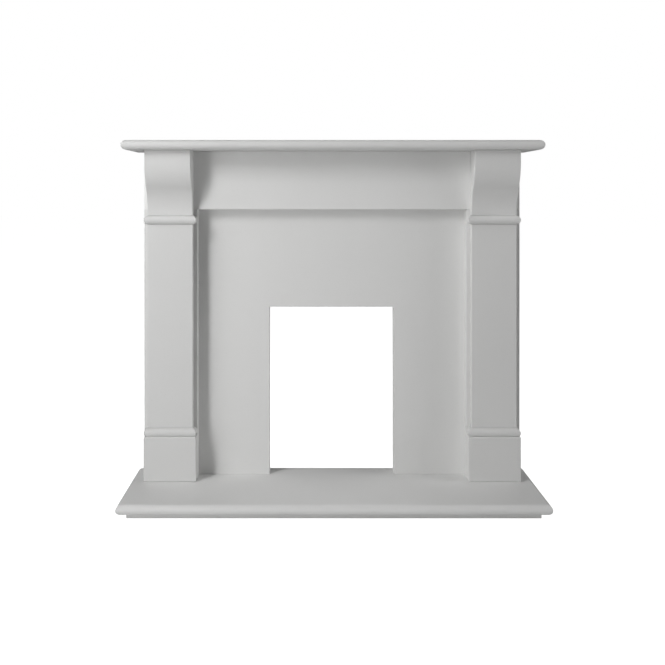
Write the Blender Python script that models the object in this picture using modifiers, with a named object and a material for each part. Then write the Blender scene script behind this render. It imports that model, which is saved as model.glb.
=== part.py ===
"""Limestone fireplace: a bullnosed hearth, a back panel cut for a fire, two legs with S-curved corbels and a shelf.

Metres, +Z up. The front faces -Y and the wall is at +Y. The origin is on the floor, under the middle of the hearth.
"""

import math

import bmesh
import bpy
from mathutils import Vector

# Driving dimensions

HEARTH_WIDTH = 1.310
HEARTH_DEPTH = 0.381
HEARTH_THICKNESS = 0.032
BASE_HEIGHT = 0.016
BASE_SETBACK = 0.028

SHELF_WIDTH = 1.335
SHELF_DEPTH = 0.240
SHELF_THICKNESS = 0.0305
MANTEL_HEIGHT = 1.101  # from the hearth's top to the shelf's top

BAY_WIDTH = 0.881  # between the legs
BAY_HEIGHT = 0.880  # from the hearth to the underside of the frieze
JAMB_WIDTH = 0.1735
BLOCK_WIDTH = 0.169  # of the foot blocks and beads
BLOCK_INSET = 0.0005  # from the jambs' inner edge to theirs
SURROUND_DEPTH = 0.116  # from the wall to the face of the jambs and the frieze

SHAFT_WIDTH = 0.146  # of the shafts and corbels
SHAFT_PROUD = 0.026  # how far each piece stands in front of the jambs' face
FOOT_PROUD = 0.0385
FOOT_HEIGHT = 0.1455
FOOT_TOP_ROUND = 0.005
BASE_BEAD_THICKNESS = 0.027
BASE_BEAD_TURN = math.radians(45)  # how far its lower quarter is carried round before it is sawn flat
NECK_BEAD_THICKNESS = 0.029

CORBEL_HEIGHT = 0.2095
CORBEL_PROUD = 0.088
CORBEL_TOP_FLAT = 0.035  # the upright stretches above and below the S curve
CORBEL_TOE_FLAT = 0.005

PANEL_WIDTH = 0.914
PANEL_HEIGHT = 0.914
PANEL_THICKNESS = 0.040
PANEL_SETBACK = 0.046  # from the jambs' face to the panel's face
OPENING_WIDTH = 0.412
OPENING_HEIGHT = 0.5555
REBATE_WIDTH = 0.020  # the step behind a jamb's inner edge
REBATE_RISE = 0.037  # the step behind the frieze's lower edge

JOINT = 0.0003  # clearance left between pieces that touch
ARRIS = 0.0015  # the sawn edges are eased by hand
OVERCUT = 0.020  # how far a cutter runs past the stone

NOSE_STEPS = 12  # facets in each quarter of a bullnose
CURVE_STEPS = 14  # facets in each half of the S curve
ARRIS_STEPS = 2
ARRIS_ANGLE = math.radians(35)
FLAT_ANGLE = math.radians(1)
MERGE = 0.00005

# Planes and levels that follow from them

WALL_Y = HEARTH_DEPTH / 2
HEARTH_FRONT_Y = -HEARTH_DEPTH / 2
FACE_Y = WALL_Y - SURROUND_DEPTH
SHAFT_Y = FACE_Y - SHAFT_PROUD
FOOT_Y = FACE_Y - FOOT_PROUD
PANEL_Y = FACE_Y + PANEL_SETBACK
SHELF_Y = WALL_Y - SHELF_DEPTH

HEARTH_Z = BASE_HEIGHT + HEARTH_THICKNESS
FRIEZE_Z = HEARTH_Z + BAY_HEIGHT
TOP_Z = HEARTH_Z + MANTEL_HEIGHT
SHELF_Z = TOP_Z - SHELF_THICKNESS
FOOT_TOP_Z = HEARTH_Z + FOOT_HEIGHT
SHAFT_Z = FOOT_TOP_Z + BASE_BEAD_THICKNESS
CORBEL_Z = SHELF_Z - CORBEL_HEIGHT
NECK_Z = CORBEL_Z - NECK_BEAD_THICKNESS

INNER_X = BAY_WIDTH / 2
OUTER_X = INNER_X + JAMB_WIDTH
LEG_X = INNER_X + BLOCK_INSET + BLOCK_WIDTH / 2

STONE_METALLIC = 0.0
HONED_ROUGHNESS = 0.62
SIDES = {"left": -1, "right": 1}


def clear_scene():
    """Removes whatever objects the file opened with."""
    for item in list(bpy.data.objects):
        bpy.data.objects.remove(item, do_unlink=True)


def new_collection(name):
    """Adds a collection to the scene."""
    collection = bpy.data.collections.new(name)
    bpy.context.scene.collection.children.link(collection)
    return collection


def put_in(item, collection):
    """Moves an object from wherever it was made into one collection."""
    for holder in list(item.users_collection):
        holder.objects.unlink(item)
    collection.objects.link(item)


def limestone(name, shade):
    """Honed limestone: an even pale grey, dull and not metallic. Each piece is a bed of its own shade."""
    material = bpy.data.materials.new(name + "_limestone")
    material.use_nodes = True
    shader = material.node_tree.nodes["Principled BSDF"]
    shader.inputs["Base Color"].default_value = (shade, shade, shade * 0.985, 1.0)
    shader.inputs["Roughness"].default_value = HONED_ROUGHNESS
    shader.inputs["Metallic"].default_value = STONE_METALLIC
    return material


def block(name, low, high, collection):
    """A sawn block between two corners: a primitive cube with its size applied."""
    low = Vector(low)
    high = Vector(high)
    bpy.ops.mesh.primitive_cube_add(size=1.0, location=(low + high) / 2)
    item = bpy.context.active_object
    item.name = name
    item.scale = high - low
    bpy.ops.object.transform_apply(location=False, rotation=False, scale=True)
    put_in(item, collection)
    return item


def ease_arrises(item):
    """Rounds every sharp edge a little, as a mason eases a sawn arris."""
    bevel = item.modifiers.new("eased arris", "BEVEL")
    bevel.width = ARRIS
    bevel.segments = ARRIS_STEPS
    bevel.limit_method = "ANGLE"
    bevel.angle_limit = ARRIS_ANGLE


def round_edges(item, chosen, radius, steps):
    """Rounds the edges of a block's mesh for which chosen(edge) is true."""
    mesh = bmesh.new()
    mesh.from_mesh(item.data)
    edges = [edge for edge in mesh.edges if chosen(edge)]
    bmesh.ops.bevel(
        mesh, geom=edges, offset=radius, offset_type="OFFSET", segments=steps, profile=0.5, affect="EDGES"
    )
    mesh.to_mesh(item.data)
    mesh.free()


def on_exposed_rim(item, levels):
    """A test for the level edges along a block's front and both ends, at the given local heights."""
    size = item.dimensions
    tolerance = MERGE

    def test(edge):
        first, second = (vert.co for vert in edge.verts)
        level = any(
            abs(first.z - height) < tolerance and abs(second.z - height) < tolerance for height in levels
        )
        front = max(first.y, second.y) < tolerance - size.y / 2
        end = abs(first.x - second.x) < tolerance and abs(abs(first.x) - size.x / 2) < tolerance
        return level and (front or end)

    return test


def bullnosed_slab(name, low, high, collection):
    """A slab with a half-round nose worked along its front and both ends, mitred at the corners."""
    item = block(name, low, high, collection)
    half = item.dimensions.z / 2
    round_edges(item, on_exposed_rim(item, (-half, half)), half - MERGE, NOSE_STEPS)
    shade_round(item)
    return item


def stopped_bullnosed_slab(name, low, high, turn, collection):
    """A bullnosed slab whose lower quarter is carried round by turn only and then sawn flat underneath."""
    radius = (high[2] - low[2]) / (1 + math.sin(turn))
    whole_low = (low[0], low[1], high[2] - 2 * radius)
    item = bullnosed_slab(name, whole_low, high, collection)
    mesh = bmesh.new()
    mesh.from_mesh(item.data)
    sawn = bmesh.ops.bisect_plane(
        mesh,
        geom=[*mesh.verts, *mesh.edges, *mesh.faces],
        dist=MERGE,
        plane_co=(0.0, 0.0, low[2] - item.location.z),
        plane_no=(0.0, 0.0, -1.0),
        clear_outer=True,
    )
    rim = [piece for piece in sawn["geom_cut"] if isinstance(piece, bmesh.types.BMEdge)]
    bmesh.ops.holes_fill(mesh, edges=rim)
    mesh.to_mesh(item.data)
    mesh.free()
    shade_round(item)
    return item


def shade_round(item):
    """Shades the worked curves smooth and keeps the arrises sharp."""
    item.data.shade_smooth()
    item.data.set_sharp_from_angle(angle=ARRIS_ANGLE)


def prism(name, outline, thickness, collection):
    """A flat outline given a thickness: a filled curve, welded, with its end faces made whole."""
    curve = bpy.data.curves.new(name, "CURVE")
    curve.dimensions = "2D"
    curve.fill_mode = "BOTH"
    curve.extrude = thickness / 2
    spline = curve.splines.new("POLY")
    spline.points.add(len(outline) - 1)
    for point, (across, up) in zip(spline.points, outline):
        point.co = (across, up, 0.0, 1.0)
    spline.use_cyclic_u = True
    item = bpy.data.objects.new(name, curve)
    collection.objects.link(item)
    weld = item.modifiers.new("weld", "WELD")
    weld.merge_threshold = MERGE
    whole = item.modifiers.new("whole faces", "DECIMATE")
    whole.decimate_type = "DISSOLVE"
    whole.angle_limit = FLAT_ANGLE
    return item


def cut(item, low, high, cutters):
    """Cuts a square-edged recess or opening between two corners."""
    cutter = block(item.name + "_cutter", low, high, cutters)
    cutter.hide_render = True
    cutter.display_type = "WIRE"
    boolean = item.modifiers.new("cut", "BOOLEAN")
    boolean.operation = "DIFFERENCE"
    boolean.solver = "EXACT"
    boolean.object = cutter


def corbel_outline():
    """The corbel's side, as (distance in front of the jamb, height): flat, a hollow, a belly, flat."""
    rise = (CORBEL_HEIGHT - CORBEL_TOP_FLAT - CORBEL_TOE_FLAT) / 2
    swing = (CORBEL_PROUD - SHAFT_PROUD) / 2
    turn = 2 * math.atan2(swing, rise)
    radius = rise / math.sin(turn)
    belly_z = CORBEL_TOE_FLAT + 2 * rise
    points = [(0.0, 0.0), (SHAFT_PROUD, 0.0)]
    for step in range(CURVE_STEPS + 1):
        angle = turn * step / CURVE_STEPS
        out = SHAFT_PROUD + radius * (1 - math.cos(angle))
        points.append((out, CORBEL_TOE_FLAT + radius * math.sin(angle)))
    for step in range(CURVE_STEPS - 1, -1, -1):
        angle = turn * step / CURVE_STEPS
        out = CORBEL_PROUD - radius * (1 - math.cos(angle))
        points.append((out, belly_z - radius * math.sin(angle)))
    top = CORBEL_HEIGHT - JOINT
    points += [(CORBEL_PROUD, top), (0.0, top)]
    return points


def jamb_outline(sign):
    """A jamb in plan: a square pier with a step behind its inner edge that takes the back panel."""
    corners = [
        (INNER_X, FACE_Y),
        (OUTER_X, FACE_Y),
        (OUTER_X, WALL_Y),
        (INNER_X + REBATE_WIDTH, WALL_Y),
        (INNER_X + REBATE_WIDTH, PANEL_Y - JOINT),
        (INNER_X, PANEL_Y - JOINT),
    ]
    return [(sign * across, back) for across, back in corners][::sign]


def make_hearth(collection):
    """The low base, set back under the slab, and the bullnosed slab on it."""
    reach = HEARTH_WIDTH / 2
    base = block(
        "hearth_base",
        (BASE_SETBACK - reach, HEARTH_FRONT_Y + BASE_SETBACK, 0.0),
        (reach - BASE_SETBACK, WALL_Y, BASE_HEIGHT - JOINT),
        collection,
    )
    ease_arrises(base)
    slab = bullnosed_slab(
        "hearth_slab", (-reach, HEARTH_FRONT_Y, BASE_HEIGHT), (reach, WALL_Y, HEARTH_Z - JOINT), collection
    )
    return [base, slab]


def make_panel(collection, cutters):
    """The back panel, standing on the hearth, with its square-headed opening cut up from the foot."""
    panel = block(
        "back_panel",
        (-PANEL_WIDTH / 2, PANEL_Y, HEARTH_Z),
        (PANEL_WIDTH / 2, PANEL_Y + PANEL_THICKNESS, HEARTH_Z + PANEL_HEIGHT),
        collection,
    )
    cut(
        panel,
        (-OPENING_WIDTH / 2, PANEL_Y - OVERCUT, HEARTH_Z - OVERCUT),
        (OPENING_WIDTH / 2, PANEL_Y + PANEL_THICKNESS + OVERCUT, HEARTH_Z + OPENING_HEIGHT),
        cutters,
    )
    ease_arrises(panel)
    return [panel]


def make_jamb(side, collection):
    """The wide rear part of a leg, from the hearth to the frieze."""
    height = BAY_HEIGHT - JOINT
    jamb = prism(side + "_jamb", jamb_outline(SIDES[side]), height, collection)
    jamb.location.z = HEARTH_Z + height / 2
    ease_arrises(jamb)
    return jamb


def make_foot_block(side, collection):
    """The square block at a leg's foot, with a softened top rim."""
    centre = SIDES[side] * LEG_X
    foot = block(
        side + "_foot_block",
        (centre - BLOCK_WIDTH / 2, FOOT_Y, HEARTH_Z),
        (centre + BLOCK_WIDTH / 2, FACE_Y - JOINT, FOOT_TOP_Z - JOINT),
        collection,
    )
    top = foot.dimensions.z / 2
    round_edges(foot, on_exposed_rim(foot, (top,)), FOOT_TOP_ROUND, NOSE_STEPS // 2)
    ease_arrises(foot)
    return foot


def bead_corners(side, bottom, thickness):
    """The lowest and highest corners of a slip between two blocks of a leg."""
    centre = SIDES[side] * LEG_X
    low = (centre - BLOCK_WIDTH / 2, FOOT_Y, bottom)
    high = (centre + BLOCK_WIDTH / 2, FACE_Y - JOINT, bottom + thickness - JOINT)
    return low, high


def make_base_bead(side, collection):
    """The slip on the foot block, with a stopped bullnose returned round both sides."""
    low, high = bead_corners(side, FOOT_TOP_Z, BASE_BEAD_THICKNESS)
    return stopped_bullnosed_slab(side + "_base_bead", low, high, BASE_BEAD_TURN, collection)


def make_neck_bead(side, collection):
    """The slip on the shaft, with a full bullnose returned round both sides."""
    low, high = bead_corners(side, NECK_Z, NECK_BEAD_THICKNESS)
    return bullnosed_slab(side + "_neck_bead", low, high, collection)


def make_shaft(side, collection):
    """The plain upright face of a leg, between its two beads."""
    centre = SIDES[side] * LEG_X
    shaft = block(
        side + "_shaft",
        (centre - SHAFT_WIDTH / 2, SHAFT_Y, SHAFT_Z),
        (centre + SHAFT_WIDTH / 2, FACE_Y - JOINT, NECK_Z - JOINT),
        collection,
    )
    ease_arrises(shaft)
    return shaft


def make_corbel(side, collection):
    """The S-curved bracket between a leg and the shelf: its side outline carried across the shaft's width."""
    corbel = prism(side + "_corbel", corbel_outline(), SHAFT_WIDTH, collection)
    corbel.rotation_euler = (math.pi / 2, 0.0, -math.pi / 2)
    corbel.location = (SIDES[side] * LEG_X, FACE_Y - JOINT, CORBEL_Z)
    ease_arrises(corbel)
    return corbel


def make_leg(side, collection):
    """One leg, from its foot block up to its corbel, with the jamb behind them."""
    return [
        make_jamb(side, collection),
        make_foot_block(side, collection),
        make_base_bead(side, collection),
        make_shaft(side, collection),
        make_neck_bead(side, collection),
        make_corbel(side, collection),
    ]


def make_frieze(collection, cutters):
    """The lintel across both jambs, stepped behind its lower edge to take the top of the back panel."""
    frieze = block(
        "frieze", (-OUTER_X, FACE_Y, FRIEZE_Z), (OUTER_X, WALL_Y, SHELF_Z - JOINT), collection
    )
    reach = INNER_X + REBATE_WIDTH
    cut(
        frieze,
        (-reach, PANEL_Y - JOINT, FRIEZE_Z - OVERCUT),
        (reach, WALL_Y + OVERCUT, FRIEZE_Z + REBATE_RISE),
        cutters,
    )
    ease_arrises(frieze)
    return [frieze]


def make_shelf(collection):
    """The bullnosed shelf on the frieze and the corbels."""
    reach = SHELF_WIDTH / 2
    return [bullnosed_slab("mantel_shelf", (-reach, SHELF_Y, SHELF_Z), (reach, WALL_Y, TOP_Z), collection)]


def dress(pieces):
    """Gives each piece its own stone, no two quite the same shade."""
    base_shade = 0.74
    spread = 0.012
    for number, item in enumerate(pieces):
        shade = base_shade + spread * math.sin(2.4 * number)
        item.data.materials.append(limestone(item.name, shade))


def main():
    """Builds every piece of the fireplace."""
    clear_scene()
    stones = new_collection("limestone_fireplace")
    cutters = new_collection("cutters")
    pieces = make_hearth(stones) + make_panel(stones, cutters)
    for side in SIDES:
        pieces += make_leg(side, stones)
    pieces += make_frieze(stones, cutters) + make_shelf(stones)
    dress(pieces)


main()
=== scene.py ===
"""The looks of a honed limestone fireplace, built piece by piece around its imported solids.

Metres, +Z up. The front faces -Y and the wall is at +Y. Every stone takes its place and its overall size from
the solid that it stands for, and adds the worked profiles, the eased arrises and the surface of the stone.
"""

import logging
import math
from collections.abc import Callable, Sequence
from dataclasses import dataclass, field
from enum import Enum

import bmesh
import bpy
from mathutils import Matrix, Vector


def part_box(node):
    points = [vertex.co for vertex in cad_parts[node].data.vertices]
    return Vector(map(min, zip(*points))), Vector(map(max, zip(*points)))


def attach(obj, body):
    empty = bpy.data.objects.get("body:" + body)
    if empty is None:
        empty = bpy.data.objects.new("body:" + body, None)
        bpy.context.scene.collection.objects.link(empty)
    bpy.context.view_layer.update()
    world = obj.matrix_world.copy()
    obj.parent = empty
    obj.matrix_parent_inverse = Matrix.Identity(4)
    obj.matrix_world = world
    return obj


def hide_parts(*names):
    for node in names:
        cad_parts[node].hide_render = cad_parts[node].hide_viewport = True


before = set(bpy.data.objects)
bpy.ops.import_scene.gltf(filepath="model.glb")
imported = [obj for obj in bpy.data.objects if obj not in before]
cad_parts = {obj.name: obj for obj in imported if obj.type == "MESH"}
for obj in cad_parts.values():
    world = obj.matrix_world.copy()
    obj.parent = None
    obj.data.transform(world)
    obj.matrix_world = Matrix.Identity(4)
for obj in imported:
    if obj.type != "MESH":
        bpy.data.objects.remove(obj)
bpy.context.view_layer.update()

Point2 = tuple[float, float]
Point3 = tuple[float, float, float]

BODY = "root"
MM = 0.001
PAPER_WHITE = "#FFFFFF"
SMOOTH_ANGLE = math.radians(30)
FLAT_ON = 0.99  # the cosine above which a face counts as looking one way
BLOCK_STEP = (3.1, 1.7, 2.3)  # how far the pattern moves from one block to the next

log = logging.getLogger("fireplace")


class Side(Enum):
    """Which leg, as seen from the room. The value is the sign of its X."""

    LEFT = -1
    RIGHT = 1

    @property
    def label(self) -> str:
        """The word that starts the names of the leg's pieces."""
        return self.name.lower()


class Slot(Enum):
    """The record's material slots."""

    SURROUND = "surround_limestone"
    PANEL = "panel_limestone"
    HEARTH = "hearth_limestone"


class Bed(Enum):
    """A face that is bedded against another stone. The value is the way that it looks."""

    UNDERSIDE = (0.0, 0.0, -1.0)
    TOP = (0.0, 0.0, 1.0)
    BACK = (0.0, 1.0, 0.0)


def linear(hex_colour: str) -> tuple[float, float, float, float]:
    """Turns an sRGB hex colour into linear light.

    Args:
        hex_colour: six hex digits after a hash sign.

    Returns:
        Red, green, blue and an alpha of one.
    """
    levels = (int(hex_colour[place : place + 2], 16) / 255 for place in (1, 3, 5))
    red, green, blue = (
        level / 12.92 if level <= 0.04045 else ((level + 0.055) / 1.055) ** 2.4 for level in levels
    )
    return (red, green, blue, 1.0)


def add_node(
    tree: bpy.types.NodeTree,
    kind: str,
    settings: dict[str, str] | None = None,
    inputs: dict[str | int, object] | None = None,
) -> bpy.types.Node:
    """Adds a node with its settings and links.

    Args:
        tree: the node tree that it goes into.
        kind: the node's Blender type.
        settings: values for the node's own properties.
        inputs: for each input, by name or number, a value or the output socket that feeds it.

    Returns:
        The new node.
    """
    node = tree.nodes.new(kind)
    for name, value in (settings or {}).items():
        setattr(node, name, value)
    for name, value in (inputs or {}).items():
        if isinstance(value, bpy.types.NodeSocket):
            tree.links.new(value, node.inputs[name])
        else:
            node.inputs[name].default_value = value
    return node


def camera_only(tree: bpy.types.NodeTree, level: float) -> bpy.types.NodeSocket:
    """Adds a strength that shows in the picture and throws no light on anything.

    Args:
        tree: the node tree that it goes into.
        level: the strength that the camera sees.

    Returns:
        The output socket, which is the level for the camera's own rays and zero for all others.
    """
    seen = add_node(tree, "ShaderNodeLightPath")
    shown = add_node(
        tree,
        "ShaderNodeMath",
        settings={"operation": "MULTIPLY"},
        inputs={0: seen.outputs["Is Camera Ray"], 1: level},
    )
    return shown.outputs[0]


@dataclass(frozen=True)
class HonedLimestone:
    """Fine-grained limestone, sawn and rubbed with grit until it is smooth but has no polish.

    It is an even pale grey with a soft, dull surface. Close to, it shows the grain of tiny shells and rounded
    grains that it is made of, a few darker flecks, and a faint clouding along its natural bed.

    Attributes:
        pale_hex: the ground colour where the stone is lightest.
        deep_hex: the ground colour in the clouded parts.
        fleck_hex: the colour of the small shell fragments.
        roughness: how dull the honed face is.
        ior: of calcite, which limestone is made of.
        cloud_mm: the size of the clouding.
        bedding: how much flatter the pattern lies than it is wide, as the stone was laid down in beds.
        grain_mm: the size that the grain is drawn at. The real grains are 0.3 to 0.8 mm, too fine to show.
        grain_contrast: how strongly the grain shows beside the clouding.
        fleck_mm: the usual distance between flecks.
        fleck_radius: where a fleck is whole and where it has faded out, as shares of that distance.
        fleck_strength: how much of its colour a fleck gets.
        dullness_spread: how much the roughness varies with the grain.
        pit_depth_mm: how deep the open grain is.
    """

    pale_hex: str = "#E1E1E0"
    deep_hex: str = "#DCDCDB"
    fleck_hex: str = "#CFCFCD"
    roughness: float = 0.58
    ior: float = 1.52
    cloud_mm: float = 160.0
    bedding: float = 1.8
    grain_mm: float = 2.2
    grain_contrast: float = 0.45
    fleck_mm: float = 13.0
    fleck_radius: Point2 = (0.06, 0.14)
    fleck_strength: float = 0.5
    dullness_spread: float = 0.06
    pit_depth_mm: float = 0.15

    def make(self, name: str, number: int, tone: float) -> bpy.types.Material:
        """Makes the material of one block of stone.

        Args:
            name: the name of the piece that is cut from the block.
            number: of the block, which moves the pattern so that no two pieces match.
            tone: how light the block is beside the others, where 1 is the usual. It is partly the stone's own
            shade and partly painted light and shade, which lightens or darkens the whole piece.

        Returns:
            The material.
        """
        # The tone lightens or darkens all the colours: partly the block's own shade, partly painted light and
        # shade.
        pale, deep, dark = (
            (*(level * tone for level in linear(colour)[:3]), 1.0)
            for colour in (self.pale_hex, self.deep_hex, self.fleck_hex)
        )
        material = bpy.data.materials.new(f"honed_limestone_{name}")
        material.use_nodes = True
        tree = material.node_tree
        shader = tree.nodes["Principled BSDF"]
        where = add_node(tree, "ShaderNodeTexCoord")
        pattern = add_node(
            tree,
            "ShaderNodeMapping",
            inputs={
                "Vector": where.outputs["Object"],
                "Location": tuple(step * number for step in BLOCK_STEP),
                "Scale": (1.0, 1.0, self.bedding),
            },
        )
        cloud, grain = (
            add_node(
                tree,
                "ShaderNodeTexNoise",
                inputs={
                    "Vector": pattern.outputs[0],
                    "Scale": 1 / (size * MM),
                    "Detail": detail,
                    "Roughness": raggedness,
                },
            )
            for size, detail, raggedness in ((self.cloud_mm, 4.0, 0.55), (self.grain_mm, 3.0, 0.7))
        )
        flecks = add_node(
            tree,
            "ShaderNodeTexVoronoi",
            settings={"feature": "F1"},
            inputs={"Vector": pattern.outputs[0], "Scale": 1 / (self.fleck_mm * MM), "Randomness": 1.0},
        )
        # This fades the grain towards 0.5, its middle value.
        mottle = add_node(
            tree,
            "ShaderNodeMath",
            settings={"operation": "MULTIPLY_ADD"},
            inputs={0: grain.outputs["Fac"], 1: self.grain_contrast, 2: (1 - self.grain_contrast) / 2},
        )
        blend = add_node(
            tree,
            "ShaderNodeMix",
            settings={"data_type": "FLOAT"},
            inputs={"Factor": 0.5, "A": cloud.outputs["Fac"], "B": mottle.outputs[0]},
        )
        ground = add_node(
            tree,
            "ShaderNodeMix",
            settings={"data_type": "RGBA"},
            inputs={"Factor": blend.outputs["Result"], "A": deep, "B": pale},
        )
        speck = add_node(
            tree,
            "ShaderNodeMapRange",
            inputs={
                "Value": flecks.outputs["Distance"],
                "From Min": self.fleck_radius[0],
                "From Max": self.fleck_radius[1],
                "To Min": self.fleck_strength,
                "To Max": 0.0,
            },
        )
        face = add_node(
            tree,
            "ShaderNodeMix",
            settings={"data_type": "RGBA"},
            inputs={"Factor": speck.outputs["Result"], "A": ground.outputs["Result"], "B": dark},
        )
        dullness = add_node(
            tree,
            "ShaderNodeMapRange",
            inputs={
                "Value": grain.outputs["Fac"],
                "To Min": self.roughness - self.dullness_spread,
                "To Max": self.roughness + self.dullness_spread,
            },
        )
        relief = add_node(
            tree,
            "ShaderNodeBump",
            inputs={"Height": grain.outputs["Fac"], "Strength": 0.5, "Distance": self.pit_depth_mm * MM},
        )
        tree.links.new(face.outputs["Result"], shader.inputs["Base Color"])
        tree.links.new(dullness.outputs["Result"], shader.inputs["Roughness"])
        tree.links.new(relief.outputs["Normal"], shader.inputs["Normal"])
        shader.inputs["Metallic"].default_value = 0.0
        shader.inputs["IOR"].default_value = self.ior
        return material


@dataclass
class StoneYard:
    """Turns worked meshes into finished stones, each from a block of its own.

    Attributes:
        finish: the stone that every piece is cut from.
        bedded_share: how much of the usual easing the edges round a bedded face get. They stay nearly
            sharp, so that the joints close up to thin lines.
        arris_facets: how many facets an eased edge has.
        made: how many stones have been finished so far.
    """

    finish: HonedLimestone = field(default_factory=HonedLimestone)
    bedded_share: float = 0.1
    arris_facets: int = 4
    made: int = 0

    def mark_arrises(self, mesh: bmesh.types.BMesh, beds: Sequence[Bed]) -> None:
        """Marks each sharp edge with its share of the easing.

        Args:
            mesh: the worked shape.
            beds: its bedded faces.
        """
        share = mesh.edges.layers.float.new("bevel_weight_edge")
        for edge in mesh.edges:
            if edge.calc_face_angle(0.0) > SMOOTH_ANGLE:
                looks = [face.normal for face in edge.link_faces]
                bedded = any(look.dot(bed.value) > FLAT_ON for look in looks for bed in beds)
                edge[share] = self.bedded_share if bedded else 1.0

    def finished(
        self,
        node: str,
        mesh: bmesh.types.BMesh,
        slot: Slot,
        tone: float,
        arris: float = 0.0,
        beds: Sequence[Bed] = (),
    ) -> bpy.types.Object:
        """Finishes one piece and puts it in place of its solid.

        Args:
            node: the name of the solid that the piece stands for.
            mesh: its worked shape, which is used up.
            slot: the record's slot for its finish. It is not used.
            tone: how light its block is beside the usual, partly its own shade and partly painted light and
                shade.
            arris: the radius that its sharp edges are eased to, or zero where they are worked already.
            beds: the faces that are bedded against other stones.

        Returns:
            The piece, riding on the body.
        """
        data = bpy.data.meshes.new(f"{node}_stone")
        bmesh.ops.recalc_face_normals(mesh, faces=mesh.faces)
        mesh.normal_update()
        self.mark_arrises(mesh, beds)
        mesh.to_mesh(data)
        mesh.free()
        data.shade_smooth()
        stone = bpy.data.objects.new(f"{node}_stone", data)
        bpy.context.scene.collection.objects.link(stone)
        if arris:
            eased = stone.modifiers.new("eased arrises", "BEVEL")
            eased.width = arris
            eased.segments = self.arris_facets
            eased.limit_method = "WEIGHT"
            eased.miter_outer = "MITER_ARC"
            eased.harden_normals = True
        else:
            data.set_sharp_from_angle(angle=SMOOTH_ANGLE)
            even = stone.modifiers.new("even faces", "WEIGHTED_NORMAL")
            even.keep_sharp = True
        self.made += 1
        data.materials.append(self.finish.make(node, self.made, tone))
        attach(stone, BODY)
        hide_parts(node)
        log.info("%s: %d vertices", stone.name, len(data.vertices))
        return stone


def prism(
    outline: Sequence[Point2],
    start: float,
    end: float,
    place: Callable[[float, float, float], Point3],
) -> bmesh.types.BMesh:
    """Carries a closed outline straight from one end to the other.

    Args:
        outline: the corners of the outline, in order.
        start: where the first end face lies along the length.
        end: where the other end face lies.
        place: turns a corner and a length along the prism into a point.

    Returns:
        A closed mesh with one whole face at each end.
    """
    mesh = bmesh.new()
    near = [mesh.verts.new(place(across, up, start)) for across, up in outline]
    far = [mesh.verts.new(place(across, up, end)) for across, up in outline]
    mesh.faces.new(near[::-1])
    mesh.faces.new(far)
    for number, corner in enumerate(near):
        following = (number + 1) % len(near)
        mesh.faces.new((corner, near[following], far[following], far[number]))
    return mesh


def block(low: Sequence[float], high: Sequence[float]) -> bmesh.types.BMesh:
    """A plain squared block.

    Args:
        low: its lowest corner.
        high: its highest corner.

    Returns:
        A closed mesh of six faces.
    """
    outline = [(low[0], low[1]), (high[0], low[1]), (high[0], high[1]), (low[0], high[1])]
    return prism(outline, low[2], high[2], lambda across, back, up: (across, back, up))


def worked_rim(
    low: Sequence[float],
    high: Sequence[float],
    profile: Sequence[Point2],
    mitre: float,
    turns: int = 4,
) -> bmesh.types.BMesh:
    """A slab whose front and both ends are worked to one profile, with its upright corners softened.

    Args:
        low: the slab's lowest corner.
        high: the slab's highest corner.
        profile: the worked edge from the underside to the top, as pairs of a distance in from the widest
            point and a height.
        mitre: the radius that the two upright corners are rubbed to.
        turns: how many facets each of those corners has.

    Returns:
        A closed mesh with whole faces on top, underneath and at the back.
    """
    mesh = bmesh.new()
    rings = []
    for inset, height in profile:
        left, right, front = low[0] + inset, high[0] - inset, low[1] + inset
        path = [(left, high[1])]
        for middle, start in ((left + mitre, math.pi), (right - mitre, -math.pi / 2)):
            for turn in range(turns + 1):
                angle = start + math.pi / 2 * turn / turns
                path.append((middle + mitre * math.cos(angle), front + mitre + mitre * math.sin(angle)))
        path.append((right, high[1]))
        rings.append([mesh.verts.new((across, back, height)) for across, back in path])
    for lower, upper in zip(rings, rings[1:]):
        for number in range(len(lower) - 1):
            mesh.faces.new((lower[number], lower[number + 1], upper[number + 1], upper[number]))
    mesh.faces.new(rings[0][::-1])
    mesh.faces.new(rings[-1])
    mesh.faces.new([ring[0] for ring in rings] + [ring[-1] for ring in rings[::-1]])
    return mesh


def bullnose(bottom: float, top: float, turn: float = math.pi / 2, steps: int = 48) -> list[Point2]:
    """The profile of a bullnose, which is a half round unless its lower quarter is stopped short.

    Args:
        bottom: the height of the slab's underside.
        top: the height of its top.
        turn: how far the lower quarter is carried round.
        steps: how many facets it has.

    Returns:
        The curve from the underside to the top, for worked_rim.
    """
    radius = (top - bottom) / (1 + math.sin(turn))
    angles = [(math.pi / 2 + turn) * step / steps - turn for step in range(steps + 1)]
    return [(radius * (1 - math.cos(angle)), top - radius * (1 - math.sin(angle))) for angle in angles]


@dataclass
class Hearth:
    """The hearth: a bullnosed slab on a low base that is set back under it.

    Attributes:
        tone: how light its stone is beside the usual: partly its own shade, partly painted light and shade.
        arris: the radius of the base's eased edges.
        mitre: the radius of the slab's rubbed corners.
    """

    # Set lighter than the usual: partly the stone's own shade, partly painted light.
    tone: float = 1.055
    arris: float = 0.0015
    mitre: float = 0.0015

    def build(self, yard: StoneYard) -> list[bpy.types.Object]:
        """Builds the base and the slab.

        Args:
            yard: finishes the stones.

        Returns:
            The two pieces.
        """
        base = block(*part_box("hearth_base"))
        low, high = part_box("hearth_slab")
        slab = worked_rim(low, high, bullnose(low.z, high.z), self.mitre)
        return [
            yard.finished("hearth_base", base, Slot.HEARTH, self.tone, self.arris, (Bed.TOP,)),
            yard.finished("hearth_slab", slab, Slot.HEARTH, self.tone),
        ]


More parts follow.
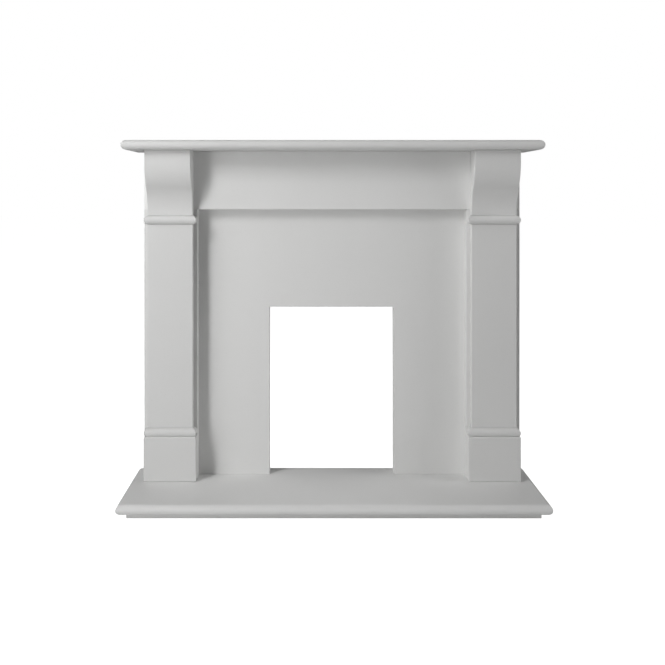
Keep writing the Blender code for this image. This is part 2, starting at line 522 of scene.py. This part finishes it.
@dataclass
class BackPanel:
    """The slab behind the legs, with the cut-out for a fire.

    Attributes:
        tone: how light its stone is beside the usual: partly its own shade, partly painted light and shade.
        opening_width: of the cut-out.
        opening_height: of the cut-out, above the hearth.
        arris: the radius of the eased edges.
    """

    # Set lighter than the usual: partly the stone's own shade, partly painted light.
    tone: float = 1.044
    opening_width: float = 0.412
    opening_height: float = 0.5555
    arris: float = 0.0012

    def build(self, yard: StoneYard) -> list[bpy.types.Object]:
        """Builds the panel.

        Args:
            yard: finishes the stone.

        Returns:
            The one piece.
        """
        low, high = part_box("back_panel")
        side = self.opening_width / 2
        head = low.z + self.opening_height
        outline = [
            (low.x, low.z),
            (-side, low.z),
            (-side, head),
            (side, head),
            (side, low.z),
            (high.x, low.z),
            (high.x, high.z),
            (low.x, high.z),
        ]
        mesh = prism(outline, low.y, high.y, lambda across, up, back: (across, back, up))
        return [yard.finished("back_panel", mesh, Slot.PANEL, self.tone, self.arris, (Bed.UNDERSIDE,))]


@dataclass
class Leg:
    """One leg: a jamb, and in front of it a foot block, two beads, a plain shaft and a corbel.

    Attributes:
        side: which leg it is.
        tone: how light its stone is beside the usual: partly its own shade, partly painted light and shade.
        rebate_width: the step behind the jamb's inner edge, which takes the back panel.
        rebate_back: the distance from the jamb's face to that step.
        foot_rim: the radius of the rounded rim on top of the foot block.
        foot_edge: the radius of its bottom edge, which leaves a fine groove along the hearth.
        bead_turn: how far the base bead's lower quarter is carried round before it is sawn flat.
        shaft_proud: how far the corbel's foot stands in front of the jamb.
        toe_flat: the upright stretch under the corbel's curve.
        top_flat: the upright stretch above it.
        arris: the radius of the eased edges.
        mitre: the radius of the beads' rubbed corners.
    """

    side: Side
    # Set darker than the usual: partly the stone's own shade, partly painted shade.
    tone: float = 0.952
    rebate_width: float = 0.020
    rebate_back: float = 0.0457
    foot_rim: float = 0.004
    foot_edge: float = 0.003
    bead_turn: float = math.radians(45)
    shaft_proud: float = 0.026
    toe_flat: float = 0.005
    top_flat: float = 0.035
    arris: float = 0.0012
    mitre: float = 0.0012

    def jamb(self) -> bmesh.types.BMesh:
        """Works the jamb, which in plan is a square pier with a step behind its inner edge.

        Returns:
            Its closed mesh.
        """
        low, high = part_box(f"{self.side.label}_jamb")
        sign = self.side.value
        outer, inner = (low.x, high.x) if self.side is Side.LEFT else (high.x, low.x)
        step = inner + sign * self.rebate_width
        back = low.y + self.rebate_back
        outline = [
            (inner, low.y),
            (outer, low.y),
            (outer, high.y),
            (step, high.y),
            (step, back),
            (inner, back),
        ]
        return prism(outline, low.z, high.z, lambda across, depth, up: (across, depth, up))

    def foot_block(self) -> bmesh.types.BMesh:
        """Works the block at the foot, with its rims rounded over on the three sides that show.

        Returns:
            Its closed mesh.
        """
        low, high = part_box(f"{self.side.label}_foot_block")
        steps = 10
        angles = [math.pi / 2 * step / steps for step in range(steps + 1)]
        edge, rim = self.foot_edge, self.foot_rim
        profile = [(edge * (1 - math.sin(angle)), low.z + edge * (1 - math.cos(angle))) for angle in angles]
        profile += [(rim * (1 - math.cos(angle)), high.z - rim * (1 - math.sin(angle))) for angle in angles]
        return worked_rim(low, high, profile, self.mitre)

    def bead(self, name: str, turn: float = math.pi / 2) -> bmesh.types.BMesh:
        """A slip with a bullnose, returned round both sides.

        Args:
            name: what follows the side in the solid's name.
            turn: how far the bullnose's lower quarter is carried round.

        Returns:
            The worked slip.
        """
        low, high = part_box(f"{self.side.label}_{name}")
        return worked_rim(low, high, bullnose(low.z, high.z, turn), self.mitre)

    def corbel(self) -> bmesh.types.BMesh:
        """Works the bracket: upright at its toe, then a hollow, a belly of the same curve, and upright again.

        Returns:
            Its closed mesh.
        """
        low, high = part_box(f"{self.side.label}_corbel")
        toe, nose = high.y - self.shaft_proud, low.y
        rise = (high.z - low.z - self.top_flat - self.toe_flat) / 2
        swing = (toe - nose) / 2
        turn = 2 * math.atan2(swing, rise)
        radius = rise / math.sin(turn)
        steps = 36
        angles = [turn * step / steps for step in range(steps + 1)]
        hollow = [
            (toe - radius * (1 - math.cos(angle)), low.z + self.toe_flat + radius * math.sin(angle))
            for angle in angles
        ]
        belly = [
            (nose + radius * (1 - math.cos(angle)), high.z - self.top_flat - radius * math.sin(angle))
            for angle in angles[-2::-1]
        ]
        outline = [(high.y, low.z), (toe, low.z), *hollow, *belly, (nose, high.z), (high.y, high.z)]
        return prism(outline, low.x, high.x, lambda depth, up, across: (across, depth, up))

    def build(self, yard: StoneYard) -> list[bpy.types.Object]:
        """Builds the leg from the hearth up.

        Args:
            yard: finishes the stones.

        Returns:
            Its six pieces.
        """
        label = self.side.label
        shaft = block(*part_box(f"{label}_shaft"))
        ends = (Bed.UNDERSIDE, Bed.TOP)
        foot_and_back = (Bed.UNDERSIDE, Bed.BACK)
        stone = (Slot.SURROUND, self.tone)
        return [
            yard.finished(f"{label}_jamb", self.jamb(), *stone, self.arris, ends),
            yard.finished(f"{label}_foot_block", self.foot_block(), *stone),
            yard.finished(f"{label}_base_bead", self.bead("base_bead", self.bead_turn), *stone),
            yard.finished(f"{label}_shaft", shaft, *stone, self.arris, tuple(Bed)),
            yard.finished(f"{label}_neck_bead", self.bead("neck_bead"), *stone),
            yard.finished(f"{label}_corbel", self.corbel(), *stone, self.arris, foot_and_back),
        ]


@dataclass
class Mantel:
    """What the legs carry: the frieze across both of them and the bullnosed shelf on top.

    Attributes:
        frieze_tone: how light the frieze's stone is beside the usual, partly its own shade and partly
            painted light.
        shelf_tone: how light the shelf's is, partly its own shade and partly painted shade.
        rebate_reach: half the width of the step behind the frieze's lower edge.
        rebate_back: the distance from the frieze's face to that step.
        rebate_rise: how high the step is.
        arris: the radius of the frieze's eased edges.
        mitre: the radius of the shelf's rubbed corners.
    """

    # The frieze is set lighter, partly its own shade and partly painted light; the shelf darker, partly its
    # own shade and partly painted shade.
    frieze_tone: float = 1.051
    shelf_tone: float = 0.945
    rebate_reach: float = 0.4605
    rebate_back: float = 0.0457
    rebate_rise: float = 0.037
    arris: float = 0.0012
    mitre: float = 0.0015

    def frieze(self) -> bmesh.types.BMesh:
        """Works the lintel, whose back is stepped over the top of the panel, with solid ends on the jambs.

        Returns:
            Its closed mesh.
        """
        low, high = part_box("frieze")
        reach = self.rebate_reach
        step = low.y + self.rebate_back
        roof = low.z + self.rebate_rise
        # Eight corners round the underside, four round the top and four round the roof of the step.
        corners = [
            (low.x, low.y, low.z),
            (high.x, low.y, low.z),
            (high.x, high.y, low.z),
            (reach, high.y, low.z),
            (reach, step, low.z),
            (-reach, step, low.z),
            (-reach, high.y, low.z),
            (low.x, high.y, low.z),
            (low.x, low.y, high.z),
            (high.x, low.y, high.z),
            (high.x, high.y, high.z),
            (low.x, high.y, high.z),
            (reach, high.y, roof),
            (reach, step, roof),
            (-reach, step, roof),
            (-reach, high.y, roof),
        ]
        front = (0, 1, 9, 8)
        ends = ((1, 2, 10, 9), (0, 8, 11, 7))
        top = (8, 9, 10, 11)
        underside = (0, 7, 6, 5, 4, 3, 2, 1)
        back = (2, 3, 12, 15, 6, 7, 11, 10)
        step_wall = (4, 5, 14, 13)
        step_roof = (12, 13, 14, 15)
        step_cheeks = ((3, 4, 13, 12), (5, 6, 15, 14))
        mesh = bmesh.new()
        points = [mesh.verts.new(corner) for corner in corners]
        for face in (front, *ends, top, underside, back, step_wall, step_roof, *step_cheeks):
            mesh.faces.new([points[number] for number in face])
        return mesh

    def build(self, yard: StoneYard) -> list[bpy.types.Object]:
        """Builds the frieze and the shelf.

        Args:
            yard: finishes the stones.

        Returns:
            The two pieces.
        """
        low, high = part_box("mantel_shelf")
        shelf = worked_rim(low, high, bullnose(low.z, high.z), self.mitre)
        return [
            yard.finished("frieze", self.frieze(), Slot.SURROUND, self.frieze_tone, self.arris),
            yard.finished("mantel_shelf", shelf, Slot.SURROUND, self.shelf_tone),
        ]


@dataclass(frozen=True)
class Softbox:
    """A flat soft light on a stand, turned level towards the stone and out of the picture.

    Attributes:
        name: what it is for.
        place: where its middle is.
        width: of its cloth.
        height: of its cloth.
        watts: its power.
    """

    name: str
    place: Point3
    width: float
    height: float
    watts: float

    def put_up(self) -> bpy.types.Object:
        """Adds the light to the scene.

        Returns:
            The light.
        """
        lamp = bpy.data.lights.new(self.name, "AREA")
        lamp.shape = "RECTANGLE"
        lamp.size, lamp.size_y = self.width, self.height
        lamp.energy = self.watts
        stand = bpy.data.objects.new(self.name, lamp)
        stand.location = self.place
        facing = Vector((-self.place[0], -self.place[1], 0.0))
        stand.rotation_euler = facing.to_track_quat("-Z", "Y").to_euler()
        stand.visible_camera = False
        bpy.context.scene.collection.objects.link(stand)
        return stand


@dataclass(frozen=True)
class MattWhitePaint:
    """Matt white paint, rolled on the studio floor, which gives an even white with next to no sheen.

    Attributes:
        base_hex: its colour.
        roughness: how dull it is.
        sheen: how strongly it reflects, where 0.5 is the usual.
        glow: how much whiter it looks in the picture than the light that it throws back.
    """

    base_hex: str = "#F2F2F2"
    roughness: float = 0.9
    sheen: float = 0.1
    glow: float = 1.0

    def make(self, name: str) -> bpy.types.Material:
        """Makes the material of what is painted.

        Args:
            name: the material's name.

        Returns:
            The material.
        """
        material = bpy.data.materials.new(name)
        material.use_nodes = True
        tree = material.node_tree
        shader = tree.nodes["Principled BSDF"]
        shader.inputs["Base Color"].default_value = linear(self.base_hex)
        shader.inputs["Roughness"].default_value = self.roughness
        shader.inputs["Specular IOR Level"].default_value = self.sheen
        shader.inputs["Emission Color"].default_value = linear(PAPER_WHITE)
        tree.links.new(camera_only(tree, self.glow), shader.inputs["Emission Strength"])
        return material


@dataclass
class Studio:
    """A plain pale floor, soft light mostly from the left, and the camera.

    Attributes:
        lights: the soft lights.
        paper_level: how bright the paper behind looks in the picture.
        floor_reach: how far the floor goes each way.
        floor_finish: what the floor is finished with.
        eye: where the camera stands.
        lens_mm: its focal length.
        sensor_mm: the width of its sensor.
        shift: how far its frame is shifted sideways and up, as shares of the frame's width.
    """

    lights: tuple[Softbox, ...] = (
        Softbox("key_softbox", (-1.841, -1.975, 2.35), 0.45, 1.2, 42.1),
        Softbox("low_key_softbox", (-1.841, -1.975, 0.55), 0.45, 0.9, 6.6),
        Softbox("high_left_softbox", (-2.384, -1.268, 3.0), 0.8, 1.4, 24.9),
        Softbox("high_right_softbox", (2.739, -0.582, 3.2), 0.5, 1.0, 27.3),
        Softbox("left_wall_of_light", (-4.243, -4.243, 1.1), 3.1, 2.2, 67.4),
        Softbox("right_wall_of_light", (5.796, -1.553, 1.1), 3.1, 2.2, 75.4),
        Softbox("rear_softbox", (0.0, 2.7, 2.3), 2.8, 1.2, 20.9),
    )
    paper_level: float = 1.0
    floor_reach: float = 30.0
    floor_finish: MattWhitePaint = field(default_factory=MattWhitePaint)
    eye: Point3 = (-0.075, -2.9535, 0.985)
    lens_mm: float = 50.1
    sensor_mm: float = 36.0
    shift: Point2 = (0.0353, -0.2113)

    def hang_paper(self) -> None:
        """Hangs plain white paper all round, which shows in the picture and throws no light on the stone."""
        world = bpy.data.worlds.new("white_paper")
        world.use_nodes = True
        bpy.context.scene.world = world
        tree = world.node_tree
        tree.nodes.clear()
        paper = add_node(
            tree,
            "ShaderNodeBackground",
            inputs={"Color": linear(PAPER_WHITE), "Strength": camera_only(tree, self.paper_level)},
        )
        add_node(tree, "ShaderNodeOutputWorld", inputs={"Surface": paper.outputs[0]})

    def lay_floor(self) -> bpy.types.Object:
        """Lays the pale floor, which throws light up at the stone and looks as white as the paper.

        Returns:
            The floor.
        """
        reach = self.floor_reach
        data = bpy.data.meshes.new("floor")
        data.from_pydata(
            [(-reach, -reach, 0.0), (reach, -reach, 0.0), (reach, reach, 0.0), (-reach, reach, 0.0)],
            [],
            [(0, 1, 2, 3)],
        )
        data.materials.append(self.floor_finish.make("matt_white_floor"))
        floor = bpy.data.objects.new("floor", data)
        bpy.context.scene.collection.objects.link(floor)
        return floor

    def place_camera(self) -> bpy.types.Object:
        """Stands the camera level in front, a little to the left, with its frame shifted down to the hearth.

        Returns:
            The camera.
        """
        data = bpy.data.cameras.new("camera")
        data.sensor_width = self.sensor_mm
        data.lens = self.lens_mm
        data.shift_x, data.shift_y = self.shift
        data.dof.use_dof = False
        camera = bpy.data.objects.new("camera", data)
        camera.location = self.eye
        camera.rotation_euler = (math.pi / 2, 0.0, 0.0)
        bpy.context.scene.collection.objects.link(camera)
        bpy.context.scene.camera = camera
        return camera

    def set_up(self) -> None:
        """Sets up the whole studio, with the plain view transform that keeps the greys as they are."""
        bpy.context.scene.view_settings.view_transform = "Standard"
        self.hang_paper()
        self.lay_floor()
        for light in self.lights:
            light.put_up()
        self.place_camera()


def main() -> None:
    """Builds the fireplace from the hearth up, and then the studio round it."""
    logging.basicConfig(level=logging.INFO, format="%(name)s: %(message)s")
    yard = StoneYard()
    for assembly in (Hearth(), BackPanel(), Leg(Side.LEFT), Leg(Side.RIGHT), Mantel()):
        pieces = assembly.build(yard)
        log.info("%s done, with %d pieces", type(assembly).__name__, len(pieces))
    Studio().set_up()


if __name__ == "__main__":
    main()
